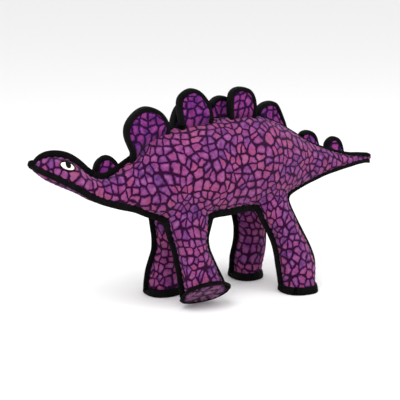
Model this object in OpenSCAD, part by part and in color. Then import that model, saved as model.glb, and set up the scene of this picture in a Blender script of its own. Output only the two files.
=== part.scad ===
// Stuffed stegosaurus toy, in millimetres.
// The head points to -X, the tail to +X, the toy's left flank to -Y and up is +Z.
// The feet stand on z = 0 and the origin is under the middle of the toy.

/* [Fabric] */
// Thickness of the printed fleece cover with its lining
cover_t = 2.4; // [1.6:0.1:3]
// Thickness of the folded webbing that binds each seam
webbing_t = 2.4; // [1.6:0.1:2.6]
// How far the webbing stands out from the crown and mouth seams
crown_fin = 6; // [3:0.5:6]
// How far the webbing stands out from the spine seam, between the plates
spine_fin = 2; // [1:0.5:3]
// How far the webbing stands out from the belly seams
belly_fin = 6; // [3:0.5:7]
// How far the webbing stands out down the front of each leg
shin_fin = 5.5; // [3:0.5:6]
// How far the webbing stands out down the back of each leg
calf_fin = 2; // [1:0.5:3]
// How far the webbing stands out from the tail's seams
tail_fin = 3.5; // [2:0.5:4]
// How far the lip round each foot stands out
foot_lip = 5.5; // [3:0.5:6]

/* [Plates] */
// Thickness of a back plate, across its edge band
plate_t = 11; // [9:0.5:11]
// Thickness of the plates on the neck and tail
small_plate_t = 8.5; // [7:0.5:9]
// Distance of each row of plates from the middle of the back
plate_row_y = 8; // [7.5:0.5:9]
// Thickness of the webbing round a plate's edge
plate_band = 1.8; // [1.2:0.1:2.4]

/* [Joints] */
// Radius of the thigh that turns in the flank
thigh_r = 27; // [25:0.5:27.5]
// Radius of the neck's rounded root
neck_root_r = 31.5; // [31:0.5:32]
// Radius of the tail's rounded root
tail_root_r = 23.2; // [23:0.1:24]
// Gap between each limb's root and its pocket in the body
pocket_gap = 1.3; // [1:0.1:1.6]

/* [Eyes] */
// Length of the white of an eye
eye_l = 16; // [12:0.5:18]
// Height of the white of an eye
eye_h = 8.5; // [6:0.5:10]
// Width of the black pupil
pupil_w = 7.5; // [5:0.5:9]

/* [Squeaker] */
// Radius of the squeaker bulb
bulb_r = 15; // [12:1:16]

/* [Hidden] */

// Body stations from snout to tail: [x, ridge height, belly height, half width, widest height]
BODY = [
    [-212.5, 172, 166, 4.5, 169],
    [-208, 174.5, 161.5, 9, 168.5],
    [-200, 177.5, 154, 13, 167],
    [-188, 178, 147.5, 16.5, 163],
    [-176, 175.5, 141.5, 18.5, 158],
    [-164, 167.5, 135, 18.5, 151],
    [-152, 155.5, 128, 17, 141.5],
    [-141, 149, 123, 16.5, 136],
    [-130, 148, 118.5, 18, 133.5],
    [-117, 155, 114, 22, 135],
    [-102, 171, 110.5, 27.5, 141],
    [-86, 185.5, 104, 34, 143.5],
    [-65, 193, 98.5, 39, 145],
    [-35, 197.5, 96, 43, 146.5],
    [0, 202, 96, 44, 148],
    [35, 203, 98, 43, 149],
    [60, 199, 101.5, 39, 149.5],
    [84, 188.5, 108, 32.5, 148],
    [99, 179, 113.5, 27, 146],
    [114, 169.5, 118.5, 22.3, 143.5],
    [130, 160.5, 122, 18.5, 141.5],
    [155, 150.5, 127, 14, 139],
    [178, 143.5, 131, 10, 137.5],
    [197, 141, 133, 6.5, 137],
    [209, 139.3, 134.5, 4, 137],
    [213.5, 138.2, 135.8, 2, 137]
];
// Seam between the flanks and the panels under the jaw, belly and tail: [x, z]
UNDER_SEAM = [
    [-216, 171], [-209, 169], [-199, 164.5], [-188, 157.5], [-177, 151], [-166, 144], [-155, 136],
    [-144, 130], [-133, 125.5], [-122, 122], [-102, 117], [-86, 109.5], [-65, 105.5], [-35, 104],
    [0, 105], [35, 108], [60, 110], [84, 115], [105, 122], [130, 127], [155, 131], [178, 133.5], [216, 137]
];
body_sides = 24;
back_roundness = 2;
belly_roundness = 2.6;
leg_roundness = 2.3;
leg_sides = 20;
thinnest_inner = 3;

// The neck nods about Y, the tail wags about Z and the legs swing about Y
neck_x = -102;
neck_z = 140.75;
tail_x = 114;
front_hip_x = -45;
rear_hip_x = 60;
hip_z = 113;
thigh_in_y = 9;
reach = 200;
sky = 400;
skin_gap = 0.3;
sew_gap = 0.4;

// Leg stations from hip to foot: [x, distance from the middle, z, half length, half width, tilt]
FRONT_LEFT = [
    [-47, 22, hip_z, 18, 12, 0], [-47.5, 24.5, 97, 18.5, 15, 0], [-46.5, 26.5, 82, 19.5, 16.5, 0],
    [-43, 29, 62, 19.2, 17, 0], [-36.5, 32, 39, 21.5, 18, 6], [-32.5, 35, 23, 24, 19, 14],
    [-31, 38, 11.7, 25, 19.5, 22]
];
REAR_LEFT = [
    [60, 22, hip_z, 18, 12, 0], [63, 24.5, 97, 17.5, 15, 0], [73.5, 26, 77, 18, 16.5, 0],
    [80.5, 27.5, 60, 19, 17, 0], [85.5, 29, 42, 20.5, 18, 0], [90, 31, 24, 23, 19.5, 0],
    [94, 32.5, 6, 24.5, 20.5, 0]
];
FRONT_RIGHT = [
    [-46, 22, hip_z, 18, 12, 0], [-45.5, 24.5, 97, 18.5, 15, 0], [-44, 25, 75, 19, 16, 0],
    [-44.5, 25.5, 55, 19, 16.5, 0], [-47, 26, 38, 20, 17, 0], [-50, 27, 21, 21.5, 18.5, 0],
    [-52, 28, 6, 22.5, 19.5, 0]
];
REAR_RIGHT = [
    [60, 22, hip_z, 18, 12, 0], [61, 25, 97, 18.5, 15, 0], [62.5, 27, 75, 19.5, 16.5, 0],
    [63.5, 30, 55, 19, 17, 0], [63, 32, 38, 20, 17.5, 0], [61.5, 34.5, 21, 21.5, 19, 0],
    [60, 36.5, 6, 22.5, 20, 0]
];
foot_drop = 6;
sole_wall = 3.8;
sole_shrink = 3.5;
lip_flare = 2.2;
shin_top = 2;
shin_end = 0.55;

// Plate crowns in side view, from the front of the base to the rear: [x, z]
NECK_PLATE = [
    [-143.5, 146], [-141, 162], [-136.5, 168], [-128.5, 172], [-122, 170.5], [-116.5, 165], [-111, 158]
];
SHOULDER_PLATE = [
    [-102, 171], [-110.5, 190], [-112, 199], [-110, 206], [-105, 213], [-97, 219.5], [-88, 222.5],
    [-79, 221], [-70, 216], [-64, 209], [-60, 201], [-57, 193]
];
WITHERS_PLATE = [
    [-52, 193], [-48, 206], [-44, 215], [-37, 221], [-28, 221], [-21, 215], [-17, 208], [-15, 198]
];
FRONT_BACK_PLATE = [
    [-45, 194], [-49, 214], [-49.5, 226], [-46, 232], [-39, 236.5], [-32, 238], [-25.5, 236],
    [-18.5, 230], [-12, 221], [-8.5, 211], [-6, 200]
];
MIDDLE_BACK_PLATE = [
    [-12, 199], [-7, 210], [-2, 218], [5, 223.5], [14, 224.5], [22, 221], [27, 213], [30, 200]
];
REAR_BACK_PLATE = [
    [13.5, 200], [12.5, 216], [14, 229], [19, 234], [27, 235.5], [35, 234], [40.5, 230.5],
    [44.5, 224], [46.5, 215], [47.5, 200]
];
RUMP_PLATE = [
    [52, 198], [56, 203], [60, 208.5], [66, 212.5], [76, 214], [82, 212], [86.5, 206],
    [92, 194], [100, 176]
];
TAIL_ROOT_PLATE = [
    [110, 170], [114, 173.5], [119, 176], [126, 176.5], [132, 174], [137, 168], [142, 153]
];
TAIL_TIP_PLATE = [[147, 151], [150.5, 160], [156, 165], [163, 166], [169, 162.5], [173, 155.5], [176.5, 142]];
neck_plate_y = 6.2;
small_plate_y = 6.2;
base_gap = 0.5;
base_steps = 6;
curve_steps = 3;
band_step = 0.5;

eye_x = -178.5;
eye_z = 168;
eye_lean = 33;
eye_turn = 9;
eye_slope = 23;
eye_t = 0.8;
eye_lift = 0.9;
pupil_up = 1.5;
bulb_x = 6;
bulb_z = 150;
pouch_t = 1.5;
reed_r = 6;
reed_h = 5;

fleece = "#7d4673";
sole_fleece = "#5b2b52";
webbing = "#141013";
wadding = "#e8e4da";
pouch_cloth = "#cfc8ba";
rubber_white = "#d9d3c4";
eye_white = "#efe6da";

// ---- Outlines ----

// A flattened oval's point at angle a, with its own roundness
function oval(a, r) = [sign(cos(a)) * pow(abs(cos(a)), 2 / r), sign(sin(a)) * pow(abs(sin(a)), 2 / r)];

// A body station's outline, drawn inset mm inside the skin and fuller below than above
function body_ring(s, inset) = [
    for (i = [0 : body_sides - 1])
        let (
            a = -360 * i / body_sides,
            p = oval(a, sin(a) < 0 ? belly_roundness : back_roundness),
            rise = (sin(a) < 0 ? s[4] - s[2] : s[1] - s[4]) - inset
        )
        [s[0], p[0] * (s[3] - inset), s[4] + p[1] * rise]
];
function body_rings(x0, x1, inset) = [
    for (s = BODY)
        if (s[0] >= x0 && s[0] <= x1 && (inset == 0 || s[3] - inset > thinnest_inner)) body_ring(s, inset)
];

// A leg station's outline, drawn inset mm inside the skin and drop mm below it, on one side of the body
function leg_ring(s, side, inset, drop) = [
    for (i = [0 : leg_sides - 1])
        let (p = oval(360 * i / leg_sides, leg_roundness), v = p[1] * (s[4] - inset))
        [
            s[0] + p[0] * (s[3] - inset),
            side * s[1] + v * cos(s[5]) + side * drop * sin(s[5]),
            s[2] + side * v * sin(s[5]) - drop * cos(s[5])
        ]
];
function leg_rings(leg, side, inset) = [for (s = leg) leg_ring(s, side, inset, 0)];

// Body values between stations
function ridge_z(x) = lookup(x, [for (s = BODY) [s[0], s[1]]]);
function belly_z(x) = lookup(x, [for (s = BODY) [s[0], s[2]]]);
function half_w(x) = lookup(x, [for (s = BODY) [s[0], s[3]]]);
function wide_z(x) = lookup(x, [for (s = BODY) [s[0], s[4]]]);
function seam_z(x) = lookup(x, UNDER_SEAM);
function seam_y(x) = half_w(x) * pow(
    1 - pow(max(0, (wide_z(x) - seam_z(x)) / (wide_z(x) - belly_z(x))), belly_roundness), 1 / belly_roundness
);

// A smooth curve through points, with steps between each pair
function curve_point(a, b, c, d, t) =
    0.5 * (2 * b + (c - a) * t + (2 * a - 5 * b + 4 * c - d) * t * t + (3 * b - a - 3 * c + d) * t * t * t);
function curve(p) = let (last = len(p) - 1) concat(
    [
        for (k = [0 : last - 1], j = [0 : curve_steps - 1])
            curve_point(p[max(k - 1, 0)], p[k], p[k + 1], p[min(k + 2, last)], j / curve_steps)
    ],
    [p[last]]
);

// A plate's whole outline: its crown, closed along the back just above the skin
function plate_outline(crown) = let (
    line = curve(crown),
    x0 = line[0][0],
    x1 = line[len(line) - 1][0],
    above = [for (p = line) if (p[1] > ridge_z(p[0]) + base_gap) p]
) concat(
    above,
    [for (j = [0 : base_steps]) let (x = x1 + (x0 - x1) * j / base_steps) [x, ridge_z(x) + base_gap]]
);

// ---- Solids ----

// A closed solid through rings that all have the same number of points
module loft(rings) {
    n = len(rings[0]);
    last = len(rings) - 1;
    walls = [
        for (k = [0 : last - 1], i = [0 : n - 1])
            let (j = (i + 1) % n, a = k * n, b = a + n)
            each [[a + i, a + j, b + j], [a + i, b + j, b + i]]
    ];
    first_cap = [for (i = [n - 1 : -1 : 0]) i];
    last_cap = [for (i = [0 : n - 1]) last * n + i];
    polyhedron([for (r = rings) each r], concat(walls, [first_cap, last_cap]));
}

// A closed band, whose rings follow each other round its section and back to the first
module hoop(rings) {
    n = len(rings[0]);
    m = len(rings);
    walls = [
        for (k = [0 : m - 1], i = [0 : n - 1])
            let (j = (i + 1) % n, a = k * n, b = ((k + 1) % m) * n)
            each [[a + i, a + j, b + j], [a + i, b + j, b + i]]
    ];
    polyhedron([for (r = rings) each r], walls);
}

// A flat piece drawn in side view, standing across y from y0 to y1
module side_slab(y0, y1) {
    translate([0, y1, 0])
        rotate([90, 0, 0])
            linear_extrude(y1 - y0)
                children();
}

module neck_drum(r) {
    translate([neck_x, 0, neck_z])
        rotate([90, 0, 0])
            cylinder(r = r, h = reach, center = true, $fn = 72);
}

module tail_drum(r) {
    translate([tail_x, 0, 0])
        cylinder(r = r, h = sky, $fn = 72);
}

// A round zone about a hip, from y = start to the outside of the body on one side
module thigh_zone(hip_x, side, r, start) {
    translate([hip_x, side * start, hip_z])
        rotate([side * -90, 0, 0])
            cylinder(r = r, h = reach, $fn = 72);
}

module head_zone() {
    translate([neck_x - reach, -reach, 0])
        cube([reach, 2 * reach, sky]);
    neck_drum(neck_root_r);
}

module tail_zone() {
    translate([tail_x, -reach, 0])
        cube([reach, 2 * reach, sky]);
    tail_drum(tail_root_r);
}

// Everything that the body leaves clear for its limbs
module limb_pockets() {
    neck_drum(neck_root_r + pocket_gap);
    tail_drum(tail_root_r + pocket_gap);
    for (hip_x = [front_hip_x, rear_hip_x], side = [-1, 1])
        thigh_zone(hip_x, side, thigh_r + pocket_gap, thigh_in_y - pocket_gap);
}

// One flank's side of the seams, with side -1 on the left
module flank_zone(side) {
    side_slab(side < 0 ? -reach : sew_gap / 2, side < 0 ? -sew_gap / 2 : reach)
        polygon(concat(UNDER_SEAM, [[216, sky], [-216, sky]]));
}

module under_zone() {
    side_slab(-reach, reach)
        polygon(concat([for (p = UNDER_SEAM) [p[0], p[1] - sew_gap]], [[216, 0], [-216, 0]]));
}

module head_cover() {
    intersection() {
        difference() {
            loft(body_rings(-213, -65, 0));
            loft(body_rings(-213, -35, cover_t));
        }
        head_zone();
    }
}

module body_cover() {
    difference() {
        loft(body_rings(neck_x, tail_x, 0));
        loft(body_rings(neck_x - 15, tail_x + 25, cover_t));
        limb_pockets();
    }
}

module tail_cover() {
    intersection() {
        difference() {
            loft(body_rings(84, 214, 0));
            loft(body_rings(60, 214, cover_t));
        }
        tail_zone();
    }
}

// ---- Body ----

module side_panel(side) {
    color(fleece)
        intersection() {
            body_cover();
            flank_zone(side);
        }
}

module belly_panel() {
    color(fleece)
        intersection() {
            body_cover();
            under_zone();
        }
}

module body_stuffing() {
    color(wadding)
        difference() {
            loft(body_rings(neck_x, tail_x, cover_t + skin_gap));
            limb_pockets();
            translate([bulb_x, 0, bulb_z])
                sphere(bulb_r + pouch_t + 2 * skin_gap, $fn = 48);
        }
}

module squeaker_pouch() {
    color(pouch_cloth)
        translate([bulb_x, 0, bulb_z])
            difference() {
                sphere(bulb_r + pouch_t + skin_gap, $fn = 48);
                sphere(bulb_r + skin_gap, $fn = 48);
            }
}

module squeaker_bulb() {
    color(rubber_white)
        translate([bulb_x, 0, bulb_z])
            difference() {
                sphere(bulb_r, $fn = 48);
                sphere(bulb_r - 2, $fn = 48);
                cylinder(r = reed_r, h = reach, $fn = 48);
            }
}

module squeaker_reed() {
    color(rubber_white)
        translate([bulb_x, 0, bulb_z + bulb_r - reed_h - 1])
            difference() {
                cylinder(r = reed_r - 0.05, h = reed_h, $fn = 48);
                translate([0, 0, -1])
                    cylinder(r = reed_r / 3, h = reed_h + 2, $fn = 24);
            }
}

// ---- Seam bindings ----

// Webbing along the ridge from x0 to x1, standing fin mm above the skin
module ridge_fin(x0, x1, fin) {
    xs = concat([x0], [for (s = BODY) if (s[0] > x0 && s[0] < x1) s[0]], [x1]);
    side_slab(-webbing_t / 2, webbing_t / 2)
        polygon(concat(
            [for (x = xs) [x, ridge_z(x) + fin]],
            [for (j = [len(xs) - 1 : -1 : 0]) [xs[j], ridge_z(xs[j]) + skin_gap]]
        ));
}

// Webbing along the seam under one flank, standing out sideways and down by fin mm
module under_fin(side, x0, x1, fin, steps, dip) {
    loft([
        for (j = [0 : steps])
            let (
                x = x0 + (x1 - x0) * j / steps,
                y = seam_y(x) + 2 * skin_gap,
                z = seam_z(x) - skin_gap,
                out = [cos(dip), -sin(dip)],
                over = [sin(dip), cos(dip)] * webbing_t / 2,
                corners = [
                    [y, z] - over + out, [y, z] - over + out * fin, [y, z] + over + out * fin, [y, z] + over + out
                ]
            )
            [for (i = [0 : 3]) let (c = corners[side < 0 ? i : 3 - i]) [x, side * c[0], c[1]]]
    ]);
}

module spine_binding() {
    color(webbing)
        ridge_fin(-84, 84, spine_fin);
}

module belly_binding(side) {
    color(webbing)
        under_fin(side, -16, 28, belly_fin, 3, 55);
}

module crown_binding() {
    color(webbing) {
        ridge_fin(-208, -112, crown_fin);
        side_slab(-webbing_t / 2, webbing_t / 2)
            polygon([[-213, 173], [-208.3, 175.5], [-208.3, 180.5], [-213, 177], [-215, 172], [-215, 168], [-213, 168]]);
    }
}

module mouth_binding(side) {
    color(webbing)
        under_fin(side, -206, -106, crown_fin, 16, 20);
}

module tail_binding() {
    color(webbing) {
        ridge_fin(132, 213, tail_fin);
        side_slab(-webbing_t / 2, webbing_t / 2)
            polygon([[213.7, 134], [215, 134.5], [215, 140], [213.7, 141.5]]);
        under_fin(-1, 134, 206, tail_fin, 6, 40);
        under_fin(1, 134, 206, tail_fin, 6, 40);
    }
}

// ---- Head ----

module head_panel(side) {
    color(fleece)
        intersection() {
            head_cover();
            flank_zone(side);
        }
}

module chin_panel() {
    color(fleece)
        intersection() {
            head_cover();
            under_zone();
        }
}

module head_stuffing() {
    color(wadding)
        intersection() {
            loft(body_rings(-213, -65, cover_t + skin_gap));
            head_zone();
        }
}

// Places a flat patch on the side of the head, lift mm off the skin
module on_cheek(side, lift) {
    rise = (eye_z - wide_z(eye_x)) / (ridge_z(eye_x) - wide_z(eye_x));
    y = half_w(eye_x) * sqrt(1 - rise * rise);
    translate([eye_x, side * y, eye_z])
        rotate([side * (90 - eye_lean) * -1, 0, side * -eye_turn])
            translate([0, 0, lift])
                rotate([0, 0, side * eye_slope])
                    linear_extrude(eye_t)
                        children();
}

module eye_patch(side) {
    color(eye_white)
        on_cheek(side, eye_lift)
            polygon([for (i = [0 : 23]) [eye_l / 2 * cos(15 * i), eye_h / 2 * sin(15 * i)]]);
}

module eye_pupil(side) {
    color(webbing)
        on_cheek(side, eye_lift + eye_t + 0.1)
            translate([0, side * -pupil_up])
                circle(d = pupil_w, $fn = 32);
}

// ---- Tail ----

module tail_panel(side) {
    color(fleece)
        intersection() {
            tail_cover();
            flank_zone(side);
        }
}

module tail_under_panel() {
    color(fleece)
        intersection() {
            tail_cover();
            under_zone();
        }
}

module tail_stuffing() {
    color(wadding)
        intersection() {
            loft(body_rings(84, 214, cover_t + skin_gap));
            tail_zone();
        }
}

// ---- Plates ----

// A plate's outline drawn in by inset, and carried down past its base in a number of steps
module plate_inset(crown, inset, steps) {
    for (k = [0 : steps])
        translate([0, -k * plate_band])
            offset(delta = -inset)
                polygon(plate_outline(crown));
}

// A padded plate, inside its edge band
module plate(crown, t, y) {
    color(fleece)
        side_slab(y - t / 2 + band_step, y + t / 2 - band_step)
            intersection() {
                polygon(plate_outline(crown));
                plate_inset(crown, plate_band + skin_gap, 1);
            }
}

// The webbing round a plate's edge, from one end of its base to the other
module plate_binding(crown, t, y) {
    color(webbing)
        side_slab(y - t / 2, y + t / 2)
            difference() {
                polygon(plate_outline(crown));
                plate_inset(crown, plate_band, 2);
            }
}

// The shoulder plate's webbing, trimmed clear of the neck's round root
module shoulder_binding() {
    color(webbing)
        difference() {
            plate_binding(SHOULDER_PLATE, plate_t, -plate_row_y);
            neck_drum(neck_root_r + pocket_gap);
        }
}

// ---- Legs ----

// The thigh's round root and the leg below it, inset mm inside the skin
module leg_form(leg, hip_x, side, inset, foot_rings) {
    intersection() {
        thigh_zone(hip_x, side, thigh_r - inset, thigh_in_y + inset);
        loft(hip_x < 0 ? body_rings(neck_x, 0, inset) : body_rings(0, tail_x, inset));
    }
    loft(concat(leg_rings(leg, side, inset), foot_rings));
}

module leg_cover(leg, hip_x, side) {
    foot = leg[len(leg) - 1];
    color(fleece)
        difference() {
            leg_form(leg, hip_x, side, 0, []);
            leg_form(leg, hip_x, side, cover_t, [leg_ring(foot, side, cover_t, foot_drop)]);
        }
}

module leg_stuffing(leg, hip_x, side) {
    color(wadding)
        leg_form(leg, hip_x, side, cover_t + skin_gap, []);
}

module sole(leg, side) {
    foot = leg[len(leg) - 1];
    color(sole_fleece)
        loft([
            leg_ring(foot, side, 0, skin_gap),
            leg_ring(foot, side, 0, sole_wall),
            leg_ring(foot, side, sole_shrink, foot_drop)
        ]);
}

// The outline of a strip of webbing on the front or back of a leg station
function strip_ring(s, side, x0, x1) = [
    for (c = [[x0, -1], [x1, -1], [x1, 1], [x0, 1]]) [s[0] + c[0], side * s[1] + c[1] * webbing_t / 2, s[2]]
];

module leg_binding(leg, side) {
    last = len(leg) - 1;
    foot = leg[last];
    ankle = leg[last - 1] + (foot - leg[last - 1]) * shin_end;
    run = concat([for (k = [shin_top : last - 1]) leg[k]], [ankle]);
    color(webbing) {
        loft([for (s = run) strip_ring(s, side, -s[3] - shin_fin, -s[3] - skin_gap)]);
        loft([for (s = run) strip_ring(s, side, s[3] + skin_gap, s[3] + calf_fin)]);
        hoop([
            leg_ring(foot, side, -skin_gap, 0),
            leg_ring(foot, side, -skin_gap, -webbing_t),
            leg_ring(foot, side, -foot_lip, lip_flare - webbing_t),
            leg_ring(foot, side, -foot_lip, lip_flare)
        ]);
    }
}

// ---- Assembly ----

side_panel(-1);  // left_side_panel
side_panel(1);  // right_side_panel
belly_panel();
body_stuffing();
spine_binding();
belly_binding(-1);  // left_belly_binding
belly_binding(1);  // right_belly_binding
squeaker_pouch();
squeaker_bulb();
squeaker_reed();

head_panel(-1);  // head_left_panel
head_panel(1);  // head_right_panel
chin_panel();
head_stuffing();
crown_binding();
mouth_binding(-1);  // left_mouth_binding
mouth_binding(1);  // right_mouth_binding
eye_patch(-1);  // left_eye_white
eye_pupil(-1);  // left_eye_pupil
eye_patch(1);  // right_eye_white
eye_pupil(1);  // right_eye_pupil

tail_panel(-1);  // tail_left_panel
tail_panel(1);  // tail_right_panel
tail_under_panel();
tail_stuffing();
tail_binding();

plate(NECK_PLATE, small_plate_t, neck_plate_y);  // neck_plate
plate_binding(NECK_PLATE, small_plate_t, neck_plate_y);  // neck_plate_band
plate(SHOULDER_PLATE, plate_t, -plate_row_y);  // shoulder_plate
shoulder_binding();  // shoulder_plate_band
plate(WITHERS_PLATE, plate_t, plate_row_y);  // withers_plate
plate_binding(WITHERS_PLATE, plate_t, plate_row_y);  // withers_plate_band
plate(FRONT_BACK_PLATE, plate_t, -plate_row_y);  // front_back_plate
plate_binding(FRONT_BACK_PLATE, plate_t, -plate_row_y);  // front_back_plate_band
plate(MIDDLE_BACK_PLATE, plate_t, plate_row_y);  // middle_back_plate
plate_binding(MIDDLE_BACK_PLATE, plate_t, plate_row_y);  // middle_back_plate_band
plate(REAR_BACK_PLATE, plate_t, -plate_row_y);  // rear_back_plate
plate_binding(REAR_BACK_PLATE, plate_t, -plate_row_y);  // rear_back_plate_band
plate(RUMP_PLATE, plate_t, plate_row_y);  // rump_plate
plate_binding(RUMP_PLATE, plate_t, plate_row_y);  // rump_plate_band
plate(TAIL_ROOT_PLATE, small_plate_t, small_plate_y);  // tail_root_plate
plate_binding(TAIL_ROOT_PLATE, small_plate_t, small_plate_y);  // tail_root_plate_band
plate(TAIL_TIP_PLATE, small_plate_t, small_plate_y);  // tail_tip_plate
plate_binding(TAIL_TIP_PLATE, small_plate_t, small_plate_y);  // tail_tip_plate_band

leg_cover(FRONT_LEFT, front_hip_x, -1);  // front_left_leg_cover
leg_stuffing(FRONT_LEFT, front_hip_x, -1);  // front_left_leg_stuffing
sole(FRONT_LEFT, -1);  // front_left_sole
leg_binding(FRONT_LEFT, -1);  // front_left_leg_binding
leg_cover(REAR_LEFT, rear_hip_x, -1);  // rear_left_leg_cover
leg_stuffing(REAR_LEFT, rear_hip_x, -1);  // rear_left_leg_stuffing
sole(REAR_LEFT, -1);  // rear_left_sole
leg_binding(REAR_LEFT, -1);  // rear_left_leg_binding
leg_cover(FRONT_RIGHT, front_hip_x, 1);  // front_right_leg_cover
leg_stuffing(FRONT_RIGHT, front_hip_x, 1);  // front_right_leg_stuffing
sole(FRONT_RIGHT, 1);  // front_right_sole
leg_binding(FRONT_RIGHT, 1);  // front_right_leg_binding
leg_cover(REAR_RIGHT, rear_hip_x, 1);  // rear_right_leg_cover
leg_stuffing(REAR_RIGHT, rear_hip_x, 1);  // rear_right_leg_stuffing
sole(REAR_RIGHT, 1);  // rear_right_sole
leg_binding(REAR_RIGHT, 1);  // rear_right_leg_binding
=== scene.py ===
"""A stuffed stegosaurus: printed fleece panels, bound seams, padded plates and sewn eyes."""
import math

import bmesh
import bpy
import numpy as np
from mathutils import Matrix, Vector, noise
from mathutils.bvhtree import BVHTree
from mathutils.kdtree import KDTree


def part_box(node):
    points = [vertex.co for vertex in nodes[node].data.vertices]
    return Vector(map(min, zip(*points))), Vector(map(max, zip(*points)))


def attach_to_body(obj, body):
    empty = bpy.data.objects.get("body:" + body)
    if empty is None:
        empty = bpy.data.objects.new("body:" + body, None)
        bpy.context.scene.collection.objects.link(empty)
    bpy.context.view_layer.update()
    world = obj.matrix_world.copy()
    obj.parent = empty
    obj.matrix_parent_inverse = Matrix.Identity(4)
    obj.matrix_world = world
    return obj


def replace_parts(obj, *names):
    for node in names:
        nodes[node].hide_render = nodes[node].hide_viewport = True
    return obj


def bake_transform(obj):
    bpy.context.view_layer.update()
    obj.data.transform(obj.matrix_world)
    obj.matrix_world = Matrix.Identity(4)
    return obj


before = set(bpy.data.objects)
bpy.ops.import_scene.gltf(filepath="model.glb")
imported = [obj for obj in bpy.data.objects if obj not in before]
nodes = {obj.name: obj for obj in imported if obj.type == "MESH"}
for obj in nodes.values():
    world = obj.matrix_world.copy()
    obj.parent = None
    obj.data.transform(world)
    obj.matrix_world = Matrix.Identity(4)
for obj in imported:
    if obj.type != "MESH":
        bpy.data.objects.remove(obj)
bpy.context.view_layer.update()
scene = bpy.context.scene

MM = 0.001
UP = Vector((0, 0, 1))

# ---------------------------------------------------------------- Sizes

LIMBS = ["front_left", "rear_left", "front_right", "rear_right"]
PLATES = [
    "neck", "shoulder", "withers", "front_back", "middle_back",
    "rear_back", "rump", "tail_root", "tail_tip",
]
SIDES = {"left": -1, "right": 1}

# The cover is cut into a separate piece for a leg below, the head and neck in front of, and the tail behind
# these places
LEG_TOP = 96.5 * MM
NECK_BACK = -80 * MM
TAIL_FRONT = 93 * MM

# How far the cover widens where each leg meets the trunk, at its front and its back, in millimetres
HIP_FLARE = {"front_left": (6, 10), "rear_left": (6, 3), "front_right": (2, 5), "rear_right": (3, 5)}
# Where a leg is fuller or slimmer than a straight tube: edge (-1 front, 1 back), height, spread and amount
LEG_FULLNESS = {
    "rear_left": [(1, 45, 18, 2), (1, 6, 18, -10)],
    "front_right": [(-1, 6, 16, -3), (-1, 60, 26, -2)],
    "rear_right": [(-1, 6, 18, -6), (1, 6, 18, -4), (-1, 55, 26, -2)],
}
# Where the back of the neck dips, above what height, and how deep
NAPE = (-98 * MM, 135 * MM)
NAPE_DEPTH = 6 * MM
# Front legs are ahead of this place and rear legs behind it
LEG_SPLIT = 5 * MM
# A hip's flare grows up from one height and is gone at another, each over a distance
FLARE_RISE = (72 * MM, 24 * MM)
FLARE_FADE = (122 * MM, 20 * MM)
# A leg's slimmest height, how far up and down that spreads, and how much is taken off each edge
WAIST = (58 * MM, 18 * MM)
LEG_WAIST = 1.5 * MM
# How far the feet stand from straight below the hips, along and across, in millimetres
LEAN = {"front_right": (3.0, 5.0), "rear_right": (4.0, 5.0), "rear_left": (2.0, 0.0)}
# Above 1, so that a leg has leaned out in full before its foot
LEAN_RATE = 1.3
COVER_VOXEL = 3 * MM
COVER_SWELL = 4 * MM
COVER_PRESSURE = 4.0
PLATE_VOXEL = 2.5 * MM
PLATE_SWELL = 3 * MM
PLATE_PRESSURE = 6.0
SWELL_STEPS = 20
# Cloth this near to a seam is held by it while the wadding pushes
SEWN_REACH = 2.2 * MM
PLATE_SEWN_REACH = 3.5 * MM
# The share of a plate's height that is carried on down inside the cover
PLATE_ROOT = 0.24
# The share of its distance from the ridge that a plate's root comes back
ROOT_LEAN = 0.9
FLEECE_T = 2 * MM
# Edges of the cut cloth sharper than this are left unsmoothed
CUT_EDGE = math.radians(50)
SEAM_STEP = 2 * MM
SEAM_ROOT = 2.5 * MM
PUCKER = 7 * MM
PUCKER_DEPTH = 0.6 * MM
PUCKER_REACH = 4 * MM
LUMP_DEPTH = 1.1 * MM
LUMPS_PER_METRE = 42
LUMP_SHIFT = Vector((3.1, 7.7, 1.3))
# Lumps fade out this near to a seam
LUMP_CLEAR = 9 * MM
FLOOR_GAP = 0.3 * MM

WEBBING_T = 3.0 * MM
# Below 1, which squares off the round section of a webbing bar
BAR_ROUNDNESS = 0.55
# How far the webbing stands out of each seam in millimetres, and how much it hangs down
FIN = {
    "snout": (5.0, 0.3),
    "mouth": (5.2, 1.0),
    "throat": (6.5, 2.0),
    "shin": (6.0, 0.0),
    "calf": (4.4, 0.0),
    "belly": (7.0, 1.8),
    "under_tail": (3.2, 0.3),
    "tail_end": (5.0, 0.0),
    "tail_top": (5.5, 0.0),
    "brow": (2.5, 0.0),
    "crown": (7.4, 0.0),
    "neck": (6.0, 0.0),
    "spine": (1.6, 0.0),
}
# How far each part of the folded point at the snout stands out, and half its height, in millimetres
SNOUT_POINT = [(-5, 5.6), (0, 5.2), (2.5, 4.6), (4.5, 3.6), (6, 2.4)]
FOOT_BAND = 9 * MM
FOOT_FLARE = 0.2
LIFTED_BAND = 7.5 * MM
LIFTED_FLARE = 1.2
LIFTED_SOLE = {"front_left": math.radians(-18)}
SOLE_BULGE = 1.5 * MM
SOLE_CLEARANCE = 3.8 * MM
RIM_POINTS = 64
THREAD_POINTS = 48
EYE_TRIM = 0.92


# ---------------------------------------------------------------- Making pieces

def new_piece(name, bm):
    mesh = bpy.data.meshes.new(name)
    bm.to_mesh(mesh)
    bm.free()
    piece = bpy.data.objects.new(name, mesh)
    scene.collection.objects.link(piece)
    return piece


def smooth_shaded(piece):
    piece.data.polygons.foreach_set("use_smooth", [True] * len(piece.data.polygons))
    return piece


def settle(piece):
    """The piece's modifiers become part of its mesh."""
    depsgraph = bpy.context.evaluated_depsgraph_get()
    shaped = piece.evaluated_get(depsgraph)
    mesh = bpy.data.meshes.new_from_object(shaped, preserve_all_data_layers=True, depsgraph=depsgraph)
    piece.modifiers.clear()
    piece.data = mesh
    return piece


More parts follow.
